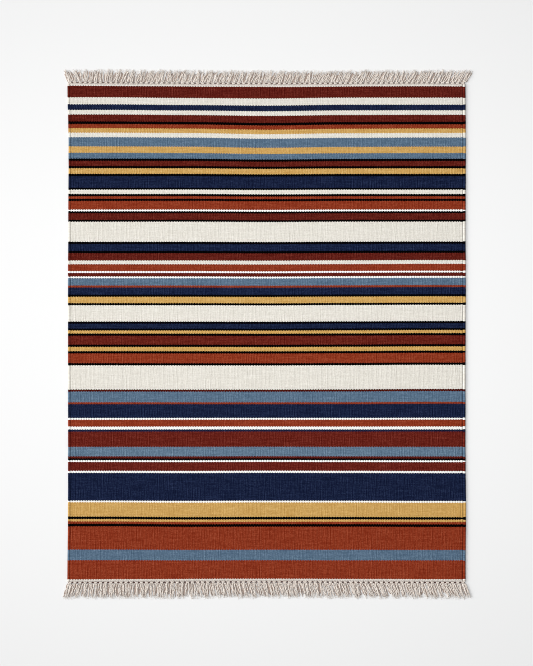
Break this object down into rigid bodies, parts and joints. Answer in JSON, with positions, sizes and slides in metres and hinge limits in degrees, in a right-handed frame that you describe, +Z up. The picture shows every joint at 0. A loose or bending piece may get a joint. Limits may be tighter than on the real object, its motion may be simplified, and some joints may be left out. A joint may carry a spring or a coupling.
{
  "type": "kilim",
  "caption": "Flat-woven striped rug lying flat, with a corded selvedge down each side, a narrow undyed band at each end and a knotted warp fringe beyond it.",
  "frame": {"origin": "on the floor, under the middle of the kilim's overall length and width, fringe included", "axes": "+X across the kilim along its stripes, +Y along its length and its warps towards the end with the shorter fringe, +Z up out of the face that shows"},
  "size_m": [1.2411, 1.5977, 0.0056],
  "materials": {
    "striped_wool": "matt weft-faced wool weave in cross stripes of maroon, cream, navy, rust, mustard, steel blue and black",
    "undyed_cotton": "matt undyed plied cotton warp, knotted and left as a fringe"
  },
  "bodies": {
    "root": {"woven_field": "striped_wool", "fringe_far": "undyed_cotton", "fringe_near": "undyed_cotton"}
  },
  "joints": []
}
